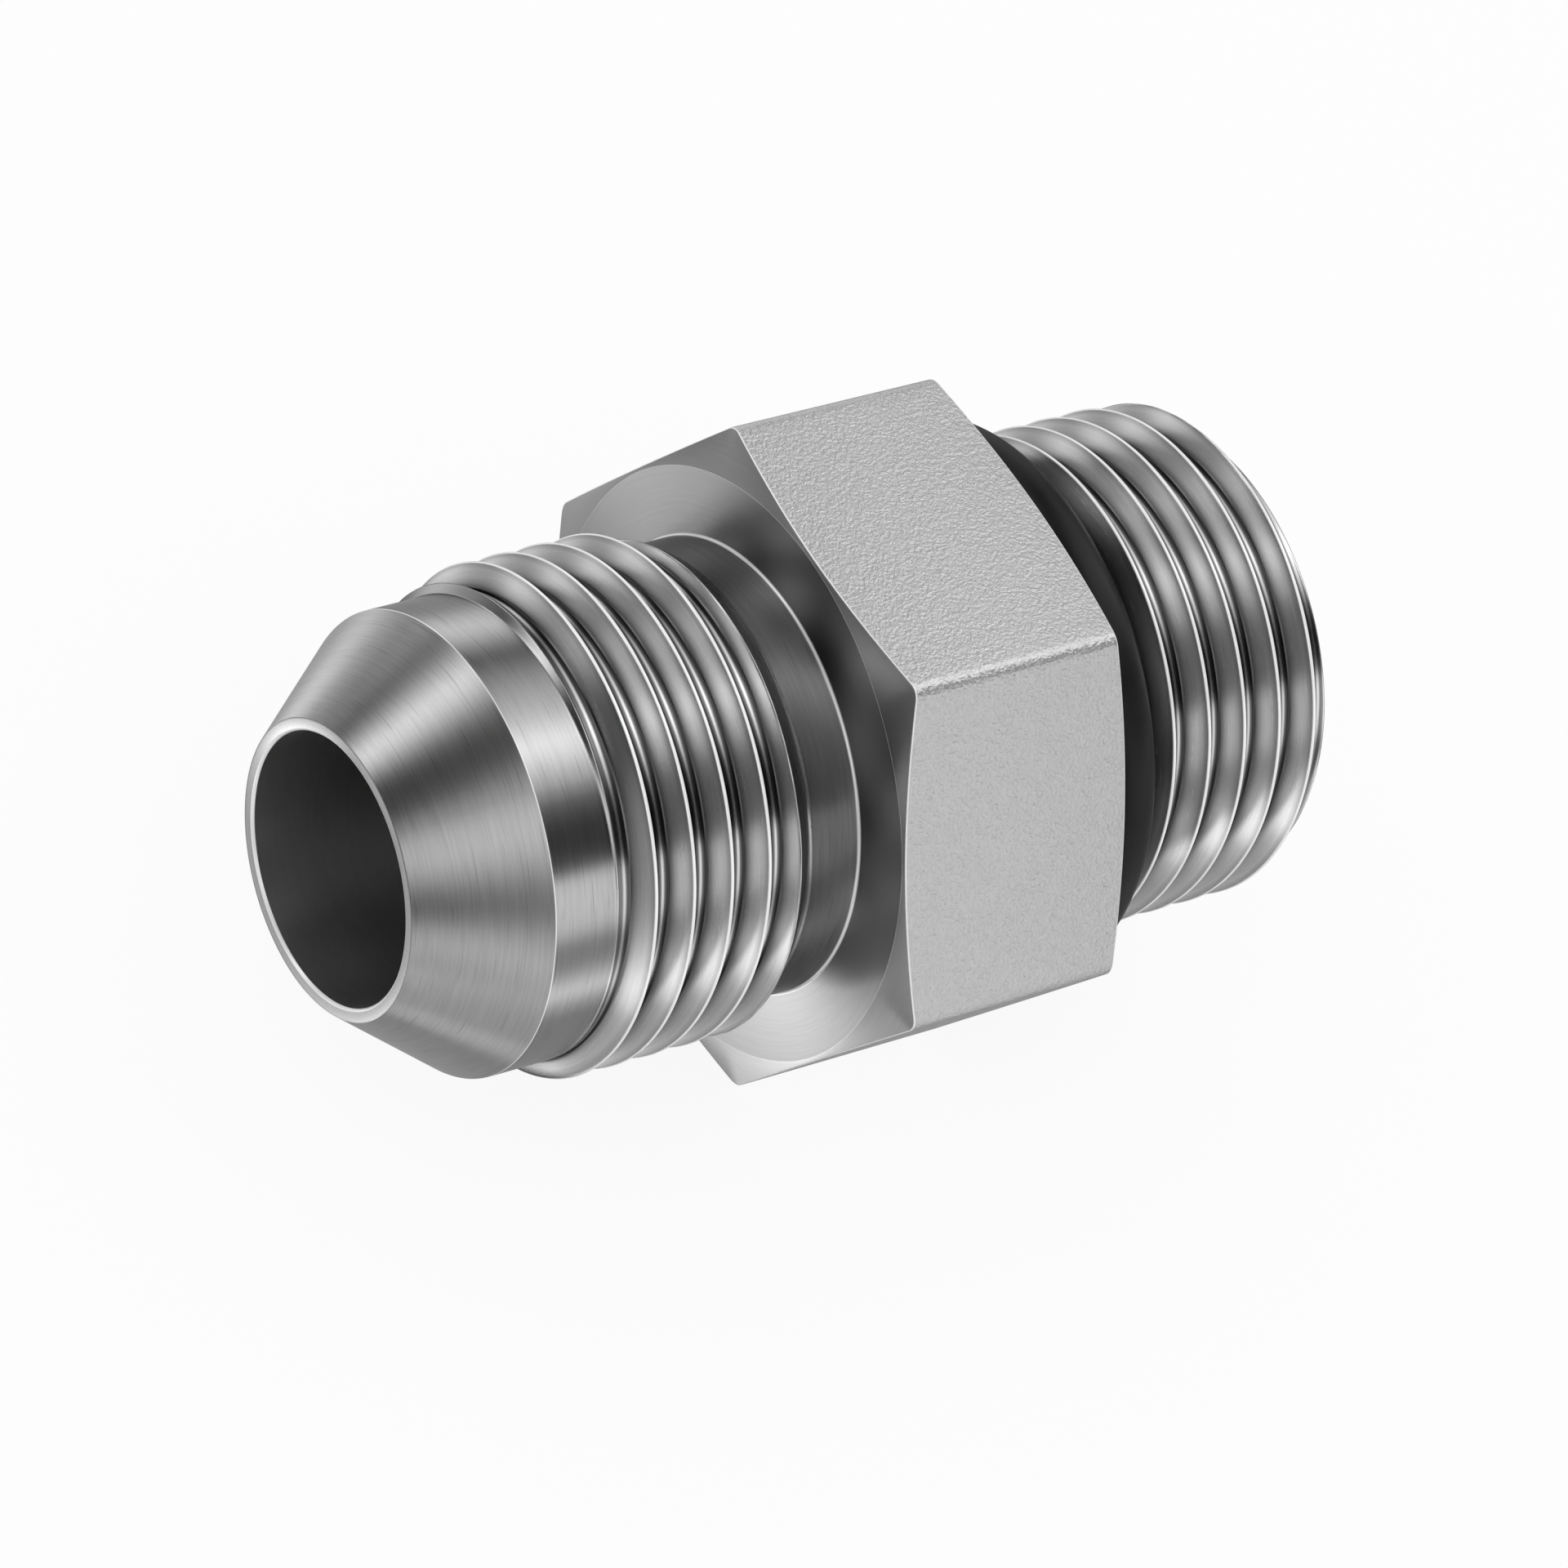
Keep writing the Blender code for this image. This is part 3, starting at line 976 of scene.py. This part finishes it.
        # The edge values paint highlights on the neck's fillet, the faces' edges and the hexagon's rims
        mesh.outline([
            Corner(self.runout_end + 3 * self.margin, self.neck_radius, Zone.TURNED),
            Corner(0, self.neck_radius, Zone.FACED, self.neck_fillet, self.neck_fillet_highlight),
            Corner(0, face_r, Zone.FACED, self.face_edge_radius, self.face_edge_highlight, 3),
            Corner(rim, hex_r, Zone.BLASTED, self.hex_rim_radius, self.hex_rim_highlight),
            Corner(back - rim, hex_r, Zone.TURNED, self.hex_rim_radius, self.hex_rim_highlight),
            Corner(back, face_r, Zone.FACED, self.face_edge_radius, self.face_edge_highlight, 3),
            Corner(back, self.groove_radius, Zone.TURNED, self.groove_fillet),
            Corner(self.groove_end - self.margin, self.groove_radius, Zone.TURNED)])

    def _add_stud(self, mesh: TurnedMesh) -> None:
        """Add the stud's thread, its end face and the bore.

        Args:
            mesh: The body's mesh.
        """
        thread = self.stud_thread
        ring = partial(self.thread_ring, thread, self.stud_envelope)
        rise = (thread.radius - self.groove_radius) / math.tan(self.stud_start_angle)
        helix_start = self.groove_end + rise + self.past_chamfer
        helix_end = self.end_chamfer - self.margin
        mesh.round_rows(self.groove_end - self.margin / 2, helix_start, self.row_spacing, ring)
        mesh.helical_rows(helix_start, helix_end, thread, ring)
        mesh.round_rows(helix_end, self.end - 4 * self.hair, self.row_spacing, ring)

        rim_x = self.end - self.hair
        rim_r = ring(np.full_like(mesh.columns, rim_x), mesh.columns).r
        # Painted highlights on the end face's mouth and on the bore's mouth
        end_face_highlight, mouth_highlight = self.stud_mouth_highlight
        mesh.outline([
            Corner(rim_x, rim_r, Zone.TURNED),
            Corner(self.end, self.groove_radius - 3 * self.hair, Zone.TURNED),
            Corner(self.end, self.bore_radius + self.stud_mouth, Zone.TURNED, self.stud_mouth_radius,
                   end_face_highlight, 3),
            Corner(self.end - self.stud_mouth, self.bore_radius, Zone.BORE, self.stud_mouth_radius,
                   mouth_highlight, 3),
            Corner(self.nose + self.nose_mouth + 2 * self.hair, self.bore_radius, Zone.BORE)])

    def build(self, materials: list[Material]) -> Object:
        """Build the body.

        Args:
            materials: Its materials, in the order of Zone.

        Returns:
            The object.
        """
        mesh = TurnedMesh(self.columns())
        self._add_nose(mesh)
        self._add_flare_thread(mesh)
        self._add_hexagon(mesh)
        self._add_stud(mesh)
        for ring in mesh.rings:
            ring.x = ring.x + self.front_x
        return mesh.build("adapter_body_turned", self.across_flats / 2, materials)


@dataclass
class SealRing:
    """The moulded O-ring behind the hexagon."""

    middle_x: float
    middle_radius: float
    section_radius: float
    axis_height: float
    section_steps: int = 40
    turn_steps: int = 180

    def build(self, material: Material) -> Object:
        """Build the ring.

        Args:
            material: Its material.

        Returns:
            The object.
        """
        mesh = TurnedMesh(np.linspace(0, FULL_TURN, self.turn_steps + 1))
        for angle in np.arange(self.section_steps) * FULL_TURN / self.section_steps:
            mesh.add_ring(self.middle_x + self.section_radius * math.cos(angle),
                          self.middle_radius + self.section_radius * math.sin(angle), Zone.TURNED)
        return mesh.build("o_ring_moulded", self.axis_height, [material])


@dataclass(frozen=True)
class LightBand:
    """A long soft panel or a dark flag of the studio, as the metal sees it.

    Attributes:
        name: What it is.
        angle: Angle round the adapter's axis of its middle, in degrees.
        half_width: Half its width, in degrees.
        softness: Width of its fading borders, in degrees.
        middle: The x of the direction to its middle.
        reach: How far it goes from there in x, either way.
        level: Its brightness, or how much a flag takes away.
        lean: How many degrees its angle grows for one of x.
        end_fade: Half the width in x of its fading ends.
    """

    name: str
    angle: float
    half_width: float
    softness: float
    middle: float
    reach: float
    level: float
    lean: float = 0.0
    end_fade: float = 0.1

    def add_to(self, nodes: Nodes, turn: NodeSocket, x: NodeSocket,
               level: object) -> NodeSocket:
        """Add the band to a level of light.

        Args:
            nodes: The world's nodes.
            turn: Angle of the direction round the axis.
            x: The direction's x.
            level: The level so far.

        Returns:
            The level with the band.
        """
        leant = nodes.math("MULTIPLY_ADD", x, math.radians(self.lean),
                           math.radians(self.angle - self.lean * self.middle))
        off = nodes.math("SUBTRACT", turn, leant)
        off = nodes.math("ABSOLUTE", nodes.math("WRAP", off, math.pi, -math.pi))
        inner = math.radians(self.half_width - self.softness / 2)
        outer = math.radians(self.half_width + self.softness / 2)
        across = nodes.remap(off, inner, outer, self.level, 0.0)
        from_middle = nodes.math("ABSOLUTE", nodes.math("SUBTRACT", x, self.middle))
        along = nodes.remap(from_middle, self.reach - self.end_fade, self.reach + self.end_fade, 1.0, 0.0)
        return nodes.math("ADD", level, nodes.math("MULTIPLY", across, along))


@dataclass
class Studio:
    """The pale floor, the light and the camera."""

    floor_tone: float = 0.987
    floor_glow: float = 0.92
    floor_in_metal: float = 0.35
    dim: float = 0.03
    bands: tuple[LightBand, ...] = (
        LightBand("overhead panel", 1, 13, 50, 0.41, 0.70, 2.34, -8),
        LightBand("far side panel", -75, 11, 31, 0.29, 0.43, 1.46, -2),
        LightBand("far corner panel", -47, 9, 40, -0.52, 0.27, 2.82, 8),
        LightBand("far end panel", -37, 12, 22, 0.75, 0.42, 0.72, -18),
        LightBand("flare side panel", 41, 21, 39, -0.61, 0.21, 1.66, -2),
        LightBand("flare dark flag", -3, 7, 8, -0.50, 0.40, -2.6),
        LightBand("far low side panel", -99, 6, 8, -0.57, 0.12, 1.5),
        LightBand("far low corner panel", -139, 7, 8, -0.55, 0.10, 0.9),
        LightBand("dark flag", 53, 10, 5, 0.37, 0.49, -2.36, -1),
        LightBand("camera side panel", 79, 16, 11, 0.31, 0.67, 1.10, 13),
        LightBand("low camera side panel", 117, 4, 26, 0.0, 0.70, 2.30, 23),
        LightBand("low flare side panel", 141, 17, 4, -0.37, 0.28, 0.46, -3),
        LightBand("low flare corner panel", 151, 5, 6, -0.76, 0.10, 4.4),
        LightBand("low far panel", -117, 15, 33, -0.05, 0.16, 1.96, -4),
        LightBand("low nose panel", 160, 6, 8, -0.14, 0.08, 1.6),
        LightBand("under flare glow", -162, 11, 4, -0.43, 0.16, 3.4, -3),
    )
    camera_azimuth: float = math.radians(-138.81)
    camera_elevation: float = math.radians(45.44)
    camera_roll: float = math.radians(24.08)
    camera_distance: float = 0.3023
    aim: tuple[float, float, float] = (-0.00041, -0.00161, 0.01133)
    lens: float = 193.82
    sensor_width: float = 36.0
    clip_start: float = 0.01
    floor_size: float = 6.0
    floor_drop: float = 0.00001

    def floor_material(self) -> Material:
        """Build the floor's paper, which shows plainly, keeps a faint shadow and is dim in metal.

        Returns:
            The material.
        """
        material = bpy.data.materials.new("floor_paper")
        material.use_nodes = True
        tree = material.node_tree
        nodes = Nodes(tree)
        shader = tree.nodes["Principled BSDF"]
        shader.inputs["Base Color"].default_value = (*grey(self.floor_tone), 1)
        shader.inputs["Roughness"].default_value = 1.0
        shader.inputs["Specular IOR Level"].default_value = 0.0
        glow = nodes.add("ShaderNodeEmission", {"Color": (*grey(self.floor_tone), 1), "Strength": 1.0})
        path = nodes.add("ShaderNodeLightPath").outputs
        seen = nodes.math("MAXIMUM", path["Is Camera Ray"], path["Is Glossy Ray"])
        seen = nodes.math("MAXIMUM", seen, path["Is Transmission Ray"])
        lit = nodes.add("ShaderNodeMixShader", {0: nodes.math("MULTIPLY", seen, self.floor_glow),
                                                1: shader.outputs[0], 2: glow.outputs[0]})
        clear = nodes.add("ShaderNodeBsdfTransparent")
        passed = nodes.math("MULTIPLY", path["Is Glossy Ray"], 1 - self.floor_in_metal)
        mixed = nodes.add("ShaderNodeMixShader", {0: passed, 1: lit.outputs[0], 2: clear.outputs[0]})
        tree.links.new(mixed.outputs[0], tree.nodes["Material Output"].inputs["Surface"])
        return material

    def build_floor(self) -> Object:
        """Lay the pale floor.

        Returns:
            The floor.
        """
        half = self.floor_size / 2
        mesh = bpy.data.meshes.new("floor")
        mesh.from_pydata([(-half, -half, 0), (half, -half, 0), (half, half, 0), (-half, half, 0)], [],
                         [(0, 1, 2, 3)])
        mesh.materials.append(self.floor_material())
        floor = bpy.data.objects.new("floor", mesh)
        floor.location = (0, 0, -self.floor_drop)
        bpy.context.collection.objects.link(floor)
        return floor

    def build_world(self) -> None:
        """Light the scene: even for the floor and for what isn't metal, in soft bands for the metal."""
        world = bpy.data.worlds.new("studio")
        world.use_nodes = True
        world.cycles.sampling_method = "NONE"
        bpy.context.scene.world = world
        tree = world.node_tree
        nodes = Nodes(tree)
        direction = nodes.add("ShaderNodeTexCoord").outputs["Generated"]
        parts = nodes.add("ShaderNodeSeparateXYZ", {0: direction}).outputs
        turn = nodes.math("ARCTAN2", nodes.math("MULTIPLY", parts["Y"], -1.0), parts["Z"])
        level = self.dim
        for band in self.bands:
            level = band.add_to(nodes, turn, parts["X"], level)
        level = nodes.math("MAXIMUM", level, 0.0)
        path = nodes.add("ShaderNodeLightPath").outputs
        seen = nodes.mix_values(path["Is Glossy Ray"], 1.0, level)
        direct = nodes.math("MAXIMUM", path["Is Camera Ray"], path["Is Transmission Ray"])
        light = tree.nodes["Background"]
        tree.links.new(nodes.mix_values(direct, seen, self.floor_tone), light.inputs["Strength"])
        light.inputs["Color"].default_value = (*grey(1), 1)

    def build_camera(self) -> None:
        """Set the camera where the photograph was taken from."""
        camera = bpy.data.cameras.new("camera")
        camera.lens = self.lens
        camera.sensor_width = self.sensor_width
        camera.clip_start = self.clip_start
        flat = math.cos(self.camera_elevation)
        away = Vector((flat * math.cos(self.camera_azimuth), flat * math.sin(self.camera_azimuth),
                       math.sin(self.camera_elevation)))
        view = bpy.data.objects.new("camera", camera)
        turn = (-away).to_track_quat("-Z", "Y").to_matrix().to_4x4()
        view.matrix_world = (Matrix.Translation(Vector(self.aim) + away * self.camera_distance) @ turn
                             @ Matrix.Rotation(self.camera_roll, 4, "Z"))
        bpy.context.collection.objects.link(view)
        bpy.context.scene.camera = view


def steel_finishes() -> dict[Zone, SteelFinish]:
    """Choose the finish of each zone of the body.

    Returns:
        The finishes.
    """
    return {
        # The recess shares paint shade into grooves, and the flank gain paints the thread's flanks lighter
        Zone.TURNED: SteelFinish("turned_steel", grey(0.48), 0.30, 0.9, mark_depth=0.0000008,
                                 streak_share=0.07, scratch_share=0.2, painted_shade_share=0.8),
        Zone.THREAD: SteelFinish("thread_steel", grey(0.50), 0.27, 0.85, mark_depth=0.0000005,
                                 streak_share=0.04, painted_shade_share=0.97, flank_gain=0.65,
                                 grazing_tint=0.3),
        Zone.BLASTED: SteelFinish("blasted_steel", grey(0.70), 0.42, 0.0, grains_per_metre=7600.0,
                                  grain_depth=0.000044, grain_share=0.03, speck_share=0.05),
        Zone.BORE: SteelFinish("bore_steel", grey(0.47), 0.4, 0.5, mark_depth=0.0000005,
                               streak_share=0.04, self_shade=1.0),
        Zone.FACED: SteelFinish("faced_steel", grey(0.40), 0.25, 0.95, mark_depth=0.0000003,
                                streak_share=0.03),
    }


def main() -> None:
    """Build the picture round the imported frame."""
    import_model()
    low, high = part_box("adapter_body")
    ring_low, ring_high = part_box("o_ring")
    marks = turning_marks()
    grain = surface_grain()

    finishes = steel_finishes()
    body = AdapterBody(across_flats=float(high[2] - low[2]), nose_x=float(low[0]),
                       stud_end_x=float(high[0]), front_x=float(low[0]) + FLARE_END_LENGTH)
    shell = body.build([finishes[zone].build(marks, grain) for zone in Zone])
    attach(shell, "root")
    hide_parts("adapter_body")
    log.info("adapter_body_turned: %d faces", len(shell.data.polygons))

    section_radius = float(ring_high[0] - ring_low[0]) / 2
    seal = SealRing(middle_x=float(ring_low[0] + ring_high[0]) / 2, section_radius=section_radius,
                    middle_radius=float(ring_high[2] - ring_low[2]) / 2 - section_radius,
                    axis_height=float(ring_low[2] + ring_high[2]) / 2)
    rubber = seal.build(RubberFinish().build(grain))
    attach(rubber, "root")
    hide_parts("o_ring")
    log.info("o_ring_moulded: %d faces", len(rubber.data.polygons))

    studio = Studio()
    studio.build_floor()
    studio.build_world()
    studio.build_camera()
    bpy.context.scene.view_settings.view_transform = "Standard"


if __name__ == "__main__":
    main()
